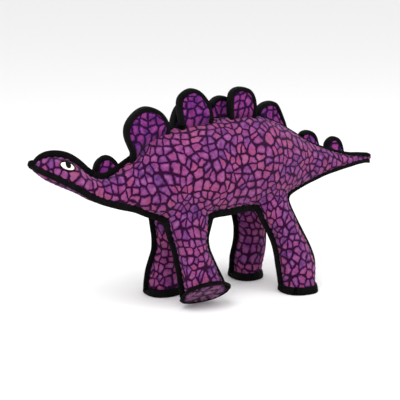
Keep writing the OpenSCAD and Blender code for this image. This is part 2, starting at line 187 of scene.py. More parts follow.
def points_of(piece):
    co = np.zeros(len(piece.data.vertices) * 3)
    piece.data.vertices.foreach_get("co", co)
    return co.reshape(-1, 3)


def normals_of(piece):
    no = np.zeros(len(piece.data.vertices) * 3)
    piece.data.vertex_normals.foreach_get("vector", no)
    return no.reshape(-1, 3)


def move_points(piece, co):
    piece.data.vertices.foreach_set("co", np.asarray(co, np.float32).ravel())
    piece.data.update()


def fused(name, names, voxel, rounds):
    """One closed skin over several CAD nodes, with its corners rounded."""
    bm = bmesh.new()
    for node in names:
        bm.from_mesh(nodes[node].data)
    bmesh.ops.remove_doubles(bm, verts=bm.verts, dist=0.01 * MM)
    piece = new_piece(name, bm)
    remesh = piece.modifiers.new("Remesh", "REMESH")
    remesh.mode = "VOXEL"
    remesh.voxel_size = voxel
    relax = piece.modifiers.new("Smooth", "SMOOTH")
    relax.factor = 0.5
    relax.iterations = rounds
    return settle(piece)


def soften(piece, rounds, weights=None):
    smooth = piece.modifiers.new("Smooth", "SMOOTH")
    smooth.factor = 0.5
    smooth.iterations = rounds
    if weights is not None:
        group = piece.vertex_groups.new(name="softened")
        for index, weight in enumerate(weights):
            if weight > 0:
                group.add([index], float(weight), "REPLACE")
        smooth.vertex_group = "softened"
    settle(piece)
    piece.vertex_groups.clear()
    return piece


def refine(piece):
    """Each face becomes four, rounded."""
    rounder = piece.modifiers.new("Subdivision", "SUBSURF")
    rounder.levels = 1
    rounder.render_levels = 1
    return settle(piece)


def write_vectors(piece, name, rows):
    layer = piece.data.attributes.get(name) or piece.data.attributes.new(name, "FLOAT_VECTOR", "POINT")
    layer.data.foreach_set("vector", np.asarray(rows, np.float32).ravel())


def smooth_step(t):
    t = np.clip(t, 0, 1)
    return t * t * (3 - 2 * t)


class Tube:
    """The middle and the half sizes of a stuffed tube, slice by slice along one axis."""

    def __init__(self, co, axis, others, step):
        low, high = co[:, axis].min() + step / 2, co[:, axis].max() - step / 2
        self.axis = axis
        self.at = np.arange(low, high, step)
        rows = []
        for place in self.at:
            ring = co[np.abs(co[:, axis] - place) < step * 0.7][:, others]
            rows.append(np.concatenate([ring.min(axis=0), ring.max(axis=0)]))
        rows = np.array(rows)
        for _ in range(2):
            rows[1:-1] = (rows[:-2] + 2 * rows[1:-1] + rows[2:]) / 4
        self.low, self.high = rows[:, :2], rows[:, 2:]

    def slices(self, co):
        """Middle and half size at each point, in both of the other axes."""
        where = co[:, self.axis]
        low = np.stack([np.interp(where, self.at, self.low[:, i]) for i in (0, 1)], axis=1)
        high = np.stack([np.interp(where, self.at, self.high[:, i]) for i in (0, 1)], axis=1)
        return (low + high) / 2, np.maximum((high - low) / 2, 2 * MM)


def sheet_of(label):
    """The sheet of cloth that a panel is cut from before it bends round the limbs."""
    if label.endswith("_sole"):
        return label
    if label.endswith(("_side", "_outer")):
        return "left" if "left" in label else "right"
    return "under"


def lay_print(skin, labels):
    """Lay each sheet of the cover flat, at its real size, so the print runs on it as on cut cloth."""
    mesh = skin.data
    bm = bmesh.new()
    bm.from_mesh(mesh)
    for edge in bm.edges:
        sheets = {sheet_of(labels[face.index]) for face in edge.link_faces}
        edge.seam = len(sheets) > 1
    bm.to_mesh(mesh)
    bm.free()
    mesh.uv_layers.new(name="print")
    bpy.context.view_layer.objects.active = skin
    skin.select_set(True)
    bpy.ops.object.mode_set(mode="EDIT")
    bpy.ops.mesh.select_all(action="SELECT")
    bpy.ops.uv.unwrap(method="ANGLE_BASED", margin=0.01)
    bpy.ops.object.mode_set(mode="OBJECT")
    skin.select_set(False)
    count = len(mesh.loops)
    corners = np.zeros(count, int)
    mesh.loops.foreach_get("vertex_index", corners)
    following = np.arange(1, count + 1)
    for polygon in mesh.polygons:
        following[polygon.loop_start + polygon.loop_total - 1] = polygon.loop_start
    flat = np.zeros(count * 2, np.float32)
    mesh.uv_layers["print"].data.foreach_get("uv", flat)
    flat = flat.reshape(-1, 2)
    place = points_of(skin)[corners]
    real = np.linalg.norm(place[following] - place, axis=1).sum()
    laid = np.linalg.norm(flat[following] - flat, axis=1).sum()
    mesh.uv_layers["print"].data.foreach_set("uv", (flat * real / laid).ravel())


def print_plate(piece, offset):
    """The cloth of a plate is cut flat, so the print runs straight across it."""
    mesh = piece.data
    layer = mesh.uv_layers.new(name="print")
    corners = np.zeros(len(mesh.loops), int)
    mesh.loops.foreach_get("vertex_index", corners)
    flat = points_of(piece)[corners][:, (0, 2)] + offset
    layer.data.foreach_set("uv", flat.astype(np.float32).ravel())


def stuffed(piece, sewn, pressure, swell):
    """Wadding pushes the cover out between its sewn edges, as far as swell."""
    before = points_of(piece)
    group = piece.vertex_groups.new(name="sewn")
    group.add([int(i) for i in sewn], 1.0, "REPLACE")
    cloth = piece.modifiers.new("Cloth", "CLOTH")
    fabric = cloth.settings
    fabric.quality = 5
    fabric.mass = 0.15
    fabric.tension_stiffness = 15
    fabric.compression_stiffness = 15
    fabric.shear_stiffness = 5
    fabric.bending_stiffness = 0.5
    fabric.air_damping = 1
    fabric.use_pressure = True
    fabric.uniform_pressure_force = pressure
    fabric.vertex_group_mass = "sewn"
    fabric.effector_weights.gravity = 0
    cloth.collision_settings.use_collision = False
    cloth.collision_settings.use_self_collision = False
    cloth.point_cache.frame_start = 1
    cloth.point_cache.frame_end = SWELL_STEPS
    for step in range(1, SWELL_STEPS + 1):
        scene.frame_set(step)
    settle(piece)
    piece.vertex_groups.clear()
    after = points_of(piece)
    shift = after - before
    length = np.linalg.norm(shift, axis=1, keepdims=True)
    capped = shift * np.minimum(1, swell / np.maximum(length, 1e-9))
    move_points(piece, before + capped)
    scene.frame_set(1)
    return piece


def tree_of(piece):
    return BVHTree.FromObject(piece, bpy.context.evaluated_depsgraph_get())


# ---------------------------------------------------------------- Seam lines

def loose_parts(node):
    """The points of each separate solid of a CAD node."""
    bm = bmesh.new()
    bm.from_mesh(nodes[node].data)
    bmesh.ops.remove_doubles(bm, verts=bm.verts, dist=0.01 * MM)
    left = dict.fromkeys(bm.verts)
    parts = []
    while left:
        stack = [left.popitem()[0]]
        part = []
        while stack:
            vert = stack.pop()
            part.append(vert.co.copy())
            for edge in vert.link_edges:
                other = edge.other_vert(vert)
                if other in left:
                    del left[other]
                    stack.append(other)
        parts.append(part)
    bm.free()
    return parts


def middle_line(points, axis):
    """The middle of a strip of webbing, one point for each of its rings, along an axis."""
    points = sorted(points, key=lambda p: p[axis])
    line = []
    ring = [points[0]]
    for point in points[1:]:
        if point[axis] - ring[-1][axis] > 2.5 * MM:
            line.append(sum(ring, Vector()) / len(ring))
            ring = []
        ring.append(point)
    line.append(sum(ring, Vector()) / len(ring))
    return line


def mean(points, axis):
    return sum(p[axis] for p in points) / len(points)


def lean(limb, height):
    """How far the stuffing lets a leg lean out from its straight place, at a height."""
    share = smooth_step(LEAN_RATE * (LEG_TOP - height) / LEG_TOP)
    return [share * shift * MM for shift in LEAN.get(limb, (0, 0))]


def leaned(points, limb):
    moved = []
    for point in points:
        along, across = lean(limb, point[2])
        moved.append(Vector((point[0] + along, point[1] + across, point[2])))
    return moved


def leg_lines(limb):
    """The front seam and the back seam of a leg, from its foot up."""
    parts = loose_parts(limb + "_leg_binding")
    parts.sort(key=lambda p: mean(p, 2))
    strips = sorted(parts[1:], key=lambda p: mean(p, 0))
    return [leaned(middle_line(strip, 2), limb) for strip in strips]


def tail_line(side):
    """The seam under the tail on one side, or the one along its top."""
    found = []
    for part in loose_parts("tail_binding"):
        across = mean(part, 1)
        if abs(across) < 1 * MM and side == 0:
            found += part
        if side and across * side > 1 * MM:
            found += part
    return middle_line(found, 0)


def evenly(line, step):
    """The same line with points a step apart."""
    line = np.array([tuple(p) for p in line])
    gaps = np.linalg.norm(np.diff(line, axis=0), axis=1)
    along = np.concatenate([[0], np.cumsum(gaps)])
    count = max(2, int(round(along[-1] / step)) + 1)
    where = np.linspace(0, along[-1], count)
    return np.stack([np.interp(where, along, line[:, i]) for i in range(3)], axis=1)


def eased(line, rounds):
    """The line with its corners rounded and its ends kept."""
    line = line.copy()
    for _ in range(rounds):
        line[1:-1] = (line[:-2] + 2 * line[1:-1] + line[2:]) / 4
    return line


class Seam:
    """A seam on the cover: its points, and which ways are out of the cover and across the seam."""

    def __init__(self, line, fins, skin, flip=1):
        self.control = line
        self.fins = fins
        self.flip = flip
        self.lay(skin)

    def lay(self, skin):
        line = eased(evenly(self.control, SEAM_STEP), 6)
        for _ in range(3):
            line = np.array([tuple(skin.find_nearest(Vector(p))[0]) for p in line])
            line = eased(evenly(line, SEAM_STEP), 5)
        self.points = [Vector(p) for p in line]
        outs = np.array([tuple(skin.find_nearest(Vector(p))[1]) for p in line])
        for _ in range(10):
            outs = eased(outs, 1)
            outs /= np.linalg.norm(outs, axis=1, keepdims=True)
        self.outs = [Vector(o) for o in outs]
        last = len(self.points) - 1
        self.alongs = []
        for i in range(last + 1):
            ahead = self.points[min(i + 1, last)] - self.points[max(i - 1, 0)]
            self.alongs.append(ahead.normalized())
        self.across = [t.cross(n).normalized() * self.flip for t, n in zip(self.alongs, self.outs)]
        known = sorted(
            (int(np.linalg.norm(line - np.array(place), axis=1).argmin()), fin)
            for place, fin in self.fins
        )
        at = [index for index, _ in known]
        every = range(last + 1)
        self.fin = np.stack([np.interp(every, at, [fin[i] for _, fin in known]) for i in (0, 1)], axis=1)
        self.fin = eased(self.fin, 30)


def strip_line(node, axis=0):
    return middle_line([v.co.copy() for v in nodes[node].data.vertices], axis)


def ends(line, fin):
    """The same webbing at both ends of a line."""
    return [(line[0], fin), (line[-1], fin)]


def to_ground(line):
    """A leg's seam, carried on down to its foot band."""
    slope = (line[1] - line[0]) / (line[1].z - line[0].z)
    return [line[0] + slope * (5 * MM - line[0].z)] + line


def trunk_seams(skin):
    seams = {}
    crown = strip_line("crown_binding")
    spine = strip_line("spine_binding")
    top = tail_line(0)
    lips = strip_line("left_mouth_binding")[0]
    snout = skin.ray_cast(Vector((lips.x - 50 * MM, 0, lips.z + 5 * MM)), Vector((1, 0, 0)))[0]
    tail_end = skin.ray_cast(Vector((top[-1].x + 50 * MM, 0, top[-1].z - 3 * MM)), Vector((-1, 0, 0)))[0]
    for side, sign in SIDES.items():
        shin_f, calf_f = [to_ground(line) for line in leg_lines("front_" + side)]
        shin_r, calf_r = [to_ground(line) for line in leg_lines("rear_" + side)]
        mouth = strip_line(side + "_mouth_binding")
        belly = strip_line(side + "_belly_binding")
        tail = tail_line(sign)
        seams[side + "_chest"] = Seam(
            [snout] + mouth + shin_f[::-1],
            [(snout, FIN["snout"]), (mouth[0], FIN["mouth"]), (mouth[-1], FIN["throat"])]
            + ends(shin_f, FIN["shin"]),
            skin, sign,
        )
        seams[side + "_arch"] = Seam(
            calf_f + belly + shin_r[::-1],
            ends(calf_f, FIN["calf"]) + ends(belly, FIN["belly"]) + ends(shin_r, FIN["shin"]),
            skin, sign,
        )
        seams[side + "_haunch"] = Seam(
            calf_r + tail + [tail_end],
            ends(calf_r, FIN["calf"]) + ends(tail, FIN["under_tail"]) + [(tail_end, FIN["tail_end"])],
            skin, sign,
        )
    seams["ridge"] = Seam(
        [snout] + crown + spine + top + [tail_end],
        [(snout, FIN["brow"]), (crown[0], FIN["brow"]), (crown[len(crown) // 4], FIN["crown"])]
        + [(crown[-1], FIN["neck"])] + ends(spine, FIN["spine"])
        + [(top[0], FIN["spine"]), (top[-1], FIN["tail_top"]), (tail_end, FIN["tail_end"])],
        skin,
    )
    return seams


# ---------------------------------------------------------------- The cover

def flare_hip(co, limb):
    """The cover widens where a leg runs into the trunk, and is a little slimmer below."""
    low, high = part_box(limb + "_leg_cover")
    leg = (co[:, 2] < 100 * MM) & (np.sign(co[:, 1]) == np.sign(low.y + high.y))
    leg &= (co[:, 0] < LEG_SPLIT) == (low.x < 0)
    tube = Tube(co[leg & (co[:, 2] < 92 * MM)], 2, [0, 1], 6 * MM)
    middle, half = tube.slices(co)
    reach = (co[:, 0] - middle[:, 0]) / half[:, 0]
    near = np.clip(1.6 - np.abs(reach), 0, 1) * (np.sign(co[:, 1]) == np.sign(low.y + high.y))
    rise = smooth_step((co[:, 2] - FLARE_RISE[0]) / FLARE_RISE[1])
    rise = rise * smooth_step((FLARE_FADE[0] - co[:, 2]) / FLARE_FADE[1])
    waist = np.exp(-((co[:, 2] - WAIST[0]) / WAIST[1]) ** 2) * leg
    flare = np.where(reach < 0, HIP_FLARE[limb][0], HIP_FLARE[limb][1]) * MM
    co[:, 0] += np.clip(reach, -1, 1) * near * (flare * rise - LEG_WAIST * waist)
    for edge, height, spread, amount in LEG_FULLNESS.get(limb, []):
        there = np.exp(-((co[:, 2] / MM - height) / spread) ** 2) * leg
        co[:, 0] += edge * np.clip(edge * reach, 0, 1) * there * amount * MM
    along, across = lean(limb, co[:, 2])
    co[leg, 0] += along[leg] if limb in LEAN else 0
    co[leg, 1] += across[leg] if limb in LEAN else 0


def cover():
    names = [n for n in nodes if n.endswith(("_panel", "_leg_cover", "stuffing", "_sole"))]
    skin = fused("cover", names, COVER_VOXEL, 8)
    co = points_of(skin)
    for limb in LIMBS:
        flare_hip(co, limb)
    nape = np.exp(-((co[:, 0] - NAPE[0]) / (13 * MM)) ** 2) * smooth_step((co[:, 2] - NAPE[1]) / (30 * MM))
    co[:, 2] -= NAPE_DEPTH * nape
    move_points(skin, co)
    near_hips = np.clip(1.4 - np.abs(co[:, 2] - 98 * MM) / (14 * MM), 0, 1)
    soften(skin, 20, near_hips)
    write_vectors(skin, "rest_place", points_of(skin))
    return skin


def place_tree(points):
    tree = KDTree(len(points))
    for index, point in enumerate(points):
        tree.insert(point, index)
    tree.balance()
    return tree


def sewn_points(piece, tree, reach):
    """The points of a piece within reach of a seam."""
    return [i for i, p in enumerate(points_of(piece)) if tree.find(p)[2] < reach]


# ---------------------------------------------------------------- Webbing

def swept(name, stations, closed=False):
    """A rounded bar through a row of frames: each is (middle, across, out, half width, half height)."""
    bm = bmesh.new()
    along_layer = bm.verts.layers.float.new("along")
    across_layer = bm.verts.layers.float.new("across")

    def frame_at(station):
        middle, across, out, half_w, half_h = station
        ahead = across.cross(out).normalized()
        return Matrix((
            (across.x * half_w, out.x * half_h, ahead.x * MM, middle.x),
            (across.y * half_w, out.y * half_h, ahead.y * MM, middle.y),
            (across.z * half_w, out.z * half_h, ahead.z * MM, middle.z),
            (0, 0, 0, 1),
        ))

    ring = bmesh.ops.create_circle(bm, segments=12, radius=1, cap_ends=True)["verts"]
    for vert in ring:
        x, y = vert.co.x, vert.co.y
        vert.co.x = math.copysign(abs(x) ** BAR_ROUNDNESS, x)
        vert.co.y = math.copysign(abs(y) ** BAR_ROUNDNESS, y)
        vert[across_layer] = vert.co.x + vert.co.y
    first = bm.faces[:][0]
    face = first
    place = frame_at(stations[0])
    bmesh.ops.transform(bm, matrix=place, verts=ring)
    run = 0.0
    for before, station in zip(stations, stations[1:]):
        grown = bmesh.ops.extrude_face_region(bm, geom=[face])["geom"]
        face = [g for g in grown if isinstance(g, bmesh.types.BMFace)][0]
        ring = [g for g in grown if isinstance(g, bmesh.types.BMVert)]
        ahead = frame_at(station)
        bmesh.ops.transform(bm, matrix=ahead @ place.inverted(), verts=ring)
        place = ahead
        run += (station[0] - before[0]).length
        for vert in ring:
            vert[along_layer] = run
    if closed:
        bm.faces.ensure_lookup_table()
        caps = [first, face]
        rims = [edge for cap in caps for edge in cap.edges]
        bmesh.ops.delete(bm, geom=caps, context="FACES_ONLY")
        bmesh.ops.bridge_loops(bm, edges=rims)
    bmesh.ops.recalc_face_normals(bm, faces=bm.faces)
    return smooth_shaded(new_piece(name, bm))


def fin_station(seam, index):
    """The folded webbing stands out of the seam, its raw edges tucked into the cover."""
    height, hang = seam.fin[index]
    height *= MM
    along = seam.alongs[index]
    out = seam.outs[index] - UP * hang
    out = (out - along * out.dot(along)).normalized()
    across = along.cross(out).normalized()
    middle = seam.points[index] + out * (height - SEAM_ROOT) / 2
    return (middle, across, out, WEBBING_T / 2, (height + SEAM_ROOT) / 2)


def snout_webbing(seam, material):
    """The ends of the crown and mouth webbing, folded together into one point at the snout."""
    snout = seam.points[0]
    ahead = (seam.outs[0] * Vector((1, 0, 1))).normalized()
    across = Vector((0, 1, 0))
    up = ahead.cross(across).normalized()
    if up.z > 0:
        up.negate()
    stations = []
    for reach, thickness in SNOUT_POINT:
        stations.append((snout + ahead * reach * MM, across, -up, thickness * 0.6 * MM, thickness * MM))
    piece = swept("snout_webbing", stations)
    finish_piece(piece, material)
    attach(piece, "head_and_neck")


def zone_of(point):
    """The body that a point of the cover goes with."""
    if point[2] < LEG_TOP:
        end = "front" if point[0] < LEG_SPLIT else "rear"
        side = "left" if point[1] < 0 else "right"
        return f"{end}_{side}_leg"
    if point[0] < NECK_BACK:
        return "head_and_neck"
    if point[0] > TAIL_FRONT:
        return "tail"
    return "body"


def attach(piece, zone):
    """A piece of the trunk goes with the body; any other piece only has its place baked into its mesh."""
    if zone == "body":
        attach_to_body(piece, "body")
        return
    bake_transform(piece)


def webbing_zone(point, soles):
    """The body that a point of a seam goes with, or nothing where it runs under a sole."""
    zone = zone_of(point)
    if zone.endswith("_leg"):
        middle, normal = soles[zone.removesuffix("_leg")]
        if (point - middle).dot(normal) < 1 * MM:
            return ""
    return zone


def seam_webbing(name, seam, soles, finish, stands_for):
    """The webbing of one seam, as one piece for each body that it crosses."""
    zones = [webbing_zone(p, soles) for p in seam.points]
    start = 0
    for index in range(1, len(zones) + 1):
        if index < len(zones) and zones[index] == zones[start]:
            continue
        if index - start > 2 and zones[start]:
            last = min(index, len(zones) - 1)
            stations = [fin_station(seam, i) for i in range(start, last + 1)]
            piece = swept(f"{name}_{zones[start]}", stations)
            finish_piece(piece, finish)
            attach(piece, zones[start])
            if zones[start] in stands_for:
                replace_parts(piece, stands_for[zones[start]])
        start = index


# ---------------------------------------------------------------- Finishes

def srgb(r, g, b):
    """A colour for the shader, from its red, green and blue out of 255."""
    linear = [((c / 255 + 0.055) / 1.055) ** 2.4 if c > 10 else c / 255 / 12.92 for c in (r, g, b)]
    return (*linear, 1.0)


class Finish:
    """A material and its node tree, with short ways to add and join nodes."""

    def __init__(self, name):
        self.material = bpy.data.materials.new(name)
        self.material.use_nodes = True
        self.tree = self.material.node_tree
        self.shader = self.tree.nodes["Principled BSDF"]

    def add(self, kind, **settings):
        node = self.tree.nodes.new("ShaderNode" + kind)
        for key, value in settings.items():
            setattr(node, key, value)
        return node

    def feed(self, node, **values):
        """Set or join inputs, by name with _ for a space."""
        for key, value in values.items():
            socket = node.inputs[key.replace("_", " ")]
            if isinstance(value, bpy.types.NodeSocket):
                self.tree.links.new(value, socket)
            else:
                socket.default_value = value
        return node

    def maths(self, operation, *values):
        node = self.add("Math", operation=operation)
        for socket, value in zip(node.inputs, values):
            if isinstance(value, bpy.types.NodeSocket):
                self.tree.links.new(value, socket)
            else:
                socket.default_value = value
        return node.outputs[0]

    def ramp(self, value, stops, interpolation="LINEAR"):
        node = self.add("ValToRGB")
        node.color_ramp.interpolation = interpolation
        while len(node.color_ramp.elements) < len(stops):
            node.color_ramp.elements.new(0.5)
        for element, (at, colour) in zip(node.color_ramp.elements, stops):
            element.position = at
            element.color = colour
        self.feed(node, Fac=value)
        return node.outputs["Color"]

    def mixed(self, share, first, second, blend="MIX"):
        node = self.add("Mix", data_type="RGBA", blend_type=blend)
        for socket, value in zip((node.inputs[0], node.inputs[6], node.inputs[7]), (share, first, second)):
            if isinstance(value, bpy.types.NodeSocket):
                self.tree.links.new(value, socket)
            else:
                socket.default_value = value
        return node.outputs[2]

    def bump(self, height, depth, strength=1.0, under=None):
        node = self.feed(self.add("Bump"), Height=height, Distance=depth, Strength=strength)
        if under is not None:
            self.feed(node, Normal=under)
        return node.outputs["Normal"]


def scale_fleece(name, dark, ink, stops, bright, cell=9.6 * MM):
    """Fleece printed all over with reptile scales of mixed sizes."""
    f = Finish(name)
    flat = f.add("UVMap", uv_map="print").outputs["UV"]
    place = f.add("Attribute", attribute_name="rest_place").outputs["Vector"]

    def cloud(scale, detail, output="Fac"):
        node = f.add("TexNoise", noise_dimensions="2D")
        return f.feed(node, Vector=flat, Scale=scale, Detail=detail).outputs[output]

    def shifted(where, scale, amount):
        """The drawing wanders a little, as drawn by hand."""
        centred = f.add("VectorMath", operation="SUBTRACT")
        f.tree.links.new(cloud(scale, 1.0, "Color"), centred.inputs[0])
        centred.inputs[1].default_value = (0.5, 0.5, 0.5)
        moved = f.add("VectorMath", operation="MULTIPLY_ADD")
        f.tree.links.new(centred.outputs[0], moved.inputs[0])
        moved.inputs[1].default_value = (amount, amount, 0)
        f.tree.links.new(where, moved.inputs[2])
        return moved.outputs[0]

    wandering = shifted(shifted(flat, 22.0, 0.014), 260.0, 0.0018)
    pitch = f.add("VectorMath", operation="MULTIPLY")
    f.tree.links.new(wandering, pitch.inputs[0])
    pitch.inputs[1].default_value = (1 / cell, 1.15 / cell, 1)

    def scales(feature):
        return f.feed(
            f.add("TexVoronoi", feature=feature, voronoi_dimensions="2D"),
            Vector=pitch.outputs[0], Scale=1.0, Randomness=0.8,
        )

    edge = scales("DISTANCE_TO_EDGE").outputs["Distance"]
    edge = f.maths("MULTIPLY", edge, f.maths("MULTIPLY_ADD", cloud(150.0, 2.0), 1.6, 0.2))
    cells = scales("F1")
    chance = f.add("SeparateColor")
    f.tree.links.new(cells.outputs["Color"], chance.inputs[0])
    broad = cloud(22.0, 1.0)
    tint = f.maths("MULTIPLY_ADD", broad, 1.0, f.maths("MULTIPLY_ADD", chance.outputs[0], 0.5, -0.45))
    tint = f.maths("MULTIPLY_ADD", cloud(190.0, 3.0), 0.5, tint)
    cell_colour = f.ramp(tint, stops)
    body = f.ramp(edge, [(0.0, (0, 0, 0, 1)), (0.25, (1, 1, 1, 1))], "EASE")
    corner = f.ramp(cells.outputs["Distance"], [(0.42, (1, 1, 1, 1)), (0.8, (0.25, 0.25, 0.25, 1))], "EASE")
    heart = f.ramp(edge, [(0.1, (0, 0, 0, 1)), (0.36, (1, 1, 1, 1))], "EASE")
    patchy = f.ramp(cloud(130.0, 3.0), [(0.35, (0, 0, 0, 1)), (0.68, (1, 1, 1, 1))])
    glow = f.mixed(f.maths("MULTIPLY", f.maths("MULTIPLY", heart, patchy), 0.9), cell_colour, bright)
    depth = f.maths("MULTIPLY", body, corner)
    rim_ink = f.mixed(f.ramp(depth, [(0.1, (0, 0, 0, 1)), (0.5, (1, 1, 1, 1))], "EASE"), dark, ink)
    printed = f.mixed(f.ramp(depth, [(0.25, (0, 0, 0, 1)), (0.85, (1, 1, 1, 1))], "EASE"), rim_ink, glow)
    fuzz = f.feed(f.add("TexNoise"), Vector=place, Scale=1100.0, Detail=3.0, Roughness=0.7).outputs["Fac"]
    nap = f.feed(f.add("TexNoise"), Vector=place, Scale=260.0, Detail=4.0, Roughness=0.7).outputs["Fac"]
    # The nap's tone varies at random, and is also painted darker in the hollows and lighter on the tops of
    # the tufts that the bump raises: painted shade and painted highlight.
    tufts = f.maths("MULTIPLY_ADD", fuzz, 0.5, f.maths("MULTIPLY", nap, 0.5))
    nap_tone_and_painted_shade = f.ramp(tufts, [(0.35, (0.66, 0.64, 0.68, 1)), (0.65, (1.12, 1.12, 1.12, 1))])
    colour = f.mixed(1.0, printed, nap_tone_and_painted_shade, "MULTIPLY")
    f.feed(
        f.shader,
        Base_Color=colour,
        Roughness=0.95,
        Sheen_Weight=0.06,
        Sheen_Roughness=0.5,
        Normal=f.bump(nap, 0.0014, 0.8, f.bump(fuzz, 0.0007, 0.7)),
    )
    f.shader.inputs["Specular IOR Level"].default_value = 0.05
    return f.material


def ribbed_webbing(name):
    """Black polyester tape with a fine cross rib."""
    f = Finish(name)
    along = f.add("Attribute", attribute_name="along").outputs["Fac"]
    across = f.add("Attribute", attribute_name="across").outputs["Fac"]
    rib = f.maths("SINE", f.maths("MULTIPLY", along, 2 * math.pi / (1.1 * MM)))
    yarn = f.maths("SINE", f.maths("MULTIPLY", across, 14.0))
    weave = f.maths("MULTIPLY_ADD", rib, 0.5, f.maths("MULTIPLY", yarn, 0.3))
    object_place = f.add("TexCoord").outputs["Object"]
    wear = f.feed(f.add("TexNoise"), Vector=object_place, Scale=120.0, Detail=3.0).outputs["Fac"]
    colour = f.ramp(wear, [(0.35, srgb(3, 2, 3)), (0.75, srgb(11, 9, 11))])
    f.feed(f.shader, Base_Color=colour, Roughness=0.75, Normal=f.bump(weave, 0.0003, 0.6))
    f.shader.inputs["Specular IOR Level"].default_value = 0.07
    return f.material


def finish_piece(piece, material):
    piece.data.materials.clear()
    piece.data.materials.append(material)
    return piece


# ---------------------------------------------------------------- Feet

def foot_rim(middle, normal, skin):
    """Points round a foot, in the plane of its sole."""
    first = normal.cross(Vector((0, 1, 0))).normalized()
    second = normal.cross(first)
    rim = []
    for turn in range(RIM_POINTS):
        angle = 2 * math.pi * turn / RIM_POINTS
        away = first * math.cos(angle) + second * math.sin(angle)
        rim.append(skin.ray_cast(middle, away)[0])
    return rim


def sole_plane(limb, skin):
    """The plane that a sole is sewn in, and the way up out of it."""
    lip = leaned(min(loose_parts(limb + "_leg_binding"), key=lambda p: mean(p, 2)), limb)
    points = np.array([tuple(p) for p in lip])
    middle = points.mean(axis=0)
    normal = Vector(np.linalg.svd(points - middle)[2][2])
    if normal.z < 0:
        normal.negate()
    middle = Vector(middle)
    if limb in LIFTED_SOLE:
        normal.rotate(Matrix.Rotation(LIFTED_SOLE[limb], 3, "X"))
        middle += normal * 2 * MM
        rim = foot_rim(middle, normal, skin)
        middle += normal * max(0.0, SOLE_CLEARANCE - min(p.z for p in rim))
    return middle, normal


def flatten_sole(skin, limb, plane):
    """A sole that is off the ground bulges only a little out of its seam."""
    middle, normal = (np.array(v) for v in plane)
    co = points_of(skin)
    below = (middle - co) @ normal
    own = np.array([zone_of(p) == limb + "_leg" for p in co])
    deep = np.where(own & (below > 0), below - SOLE_BULGE * np.tanh(below / SOLE_BULGE), 0)
    move_points(skin, co + deep[:, None] * normal)


def foot_seam(plane, skin):
    """The seam round a sole: its plane, points round it and the ways out of it."""
    middle, normal = plane
    rim = foot_rim(middle, normal, skin)
    outs = []
    for index in range(RIM_POINTS):
        ahead = rim[(index + 1) % RIM_POINTS] - rim[index - 1]
        out = ahead.cross(normal).normalized()
        if out.dot(rim[index] - middle) < 0:
            out.negate()
        outs.append(out)
    return middle, normal, rim, outs


def foot_webbing(limb, rim_seam, material):
    """A band of webbing round the foot, flared out at the ground, or folded back round a lifted sole."""
    middle, normal, rim, outs = rim_seam
    flare, width = (LIFTED_FLARE, LIFTED_BAND) if limb in LIFTED_SOLE else (FOOT_FLARE, FOOT_BAND)
    stations = []
    for point, out in zip(rim, outs):
        down = (out * flare - normal).normalized()
        across = (out + normal * flare).normalized()
        centre = point + down * width * 0.26 + out * 0.8 * MM
        stations.append((centre, across, down, WEBBING_T / 2, width / 2))
    piece = swept(limb + "_foot_webbing", stations, closed=True)
    lift = max(0.0, FLOOR_GAP - min(v.co.z for v in piece.data.vertices))
    piece.data.transform(Matrix.Translation((0, 0, lift)))
    finish_piece(piece, material)
    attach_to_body(piece, limb + "_leg")
    return piece


# ---------------------------------------------------------------- Panels

def cut_panels(skin, seams, feet):
    """Which panel each face of the skin belongs to."""
    tree_points = []
    across = []
    for name, seam in seams.items():
        if name != "ridge":
            tree_points += seam.points
            across += seam.across
    tree = place_tree(tree_points)
    labels = []
    for face in skin.data.polygons:
        centre = face.center
        zone = zone_of(centre)
        side = "left" if centre.y < 0 else "right"
        if zone.endswith("_leg"):
            limb = zone.removesuffix("_leg")
            middle, normal = feet[limb][:2]
            if (centre - middle).dot(normal) < 0:
                labels.append(limb + "_sole")
                continue
        place, index, _ = tree.find(centre)
        outer = (centre - place).dot(across[index]) > 0
        if zone.endswith("_leg"):
            labels.append(f"{zone}_{'outer' if outer else 'inner'}")
        elif outer:
            labels.append(f"{zone}_{side}_side")
        else:
            labels.append(f"{zone}_under")
    return labels


def panel_piece(name, skin, labels, label):
    bm = bmesh.new()
    bm.from_mesh(skin.data)
    away = [face for face, tag in zip(bm.faces, labels) if tag != label]
    bmesh.ops.delete(bm, geom=away, context="FACES")
    piece = new_piece(name, bm)
    wall = piece.modifiers.new("Solidify", "SOLIDIFY")
    wall.thickness = FLEECE_T
    wall.offset = -1
    settle(smooth_shaded(piece))
    bm = bmesh.new()
    bm.from_mesh(piece.data)
    for edge in bm.edges:
        edge.smooth = edge.calc_face_angle(0) < CUT_EDGE
    bm.to_mesh(piece.data)
    bm.free()
    return piece


def shape_stuffing(skin, tree):
    """Shallow lumps in the wadding, and puckers where the cloth is gathered into a seam."""
    co = points_of(skin)
    for index, normal in enumerate(normals_of(skin)):
        place = Vector(co[index])
        _, near, gap = tree.find(place)
        soft = min(1.0, gap / LUMP_CLEAR)
        swell = noise.noise(place * LUMPS_PER_METRE + LUMP_SHIFT) * LUMP_DEPTH * soft
        fold = gap / PUCKER_REACH * math.exp(1 - gap / PUCKER_REACH)
        pucker = math.sin(near * 2 * math.pi * SEAM_STEP / PUCKER) * fold * PUCKER_DEPTH
        co[index] += normal * (swell + pucker)
    co[:, 2] = np.maximum(co[:, 2], FLOOR_GAP)
    move_points(skin, co)


def zone_of_panel(label):
    """The body that a panel goes with."""
    if label.endswith("_sole"):
        return label.removesuffix("_sole") + "_leg"
    return label.rsplit("_", 2 if label.endswith("_side") else 1)[0]


# ---------------------------------------------------------------- Plates

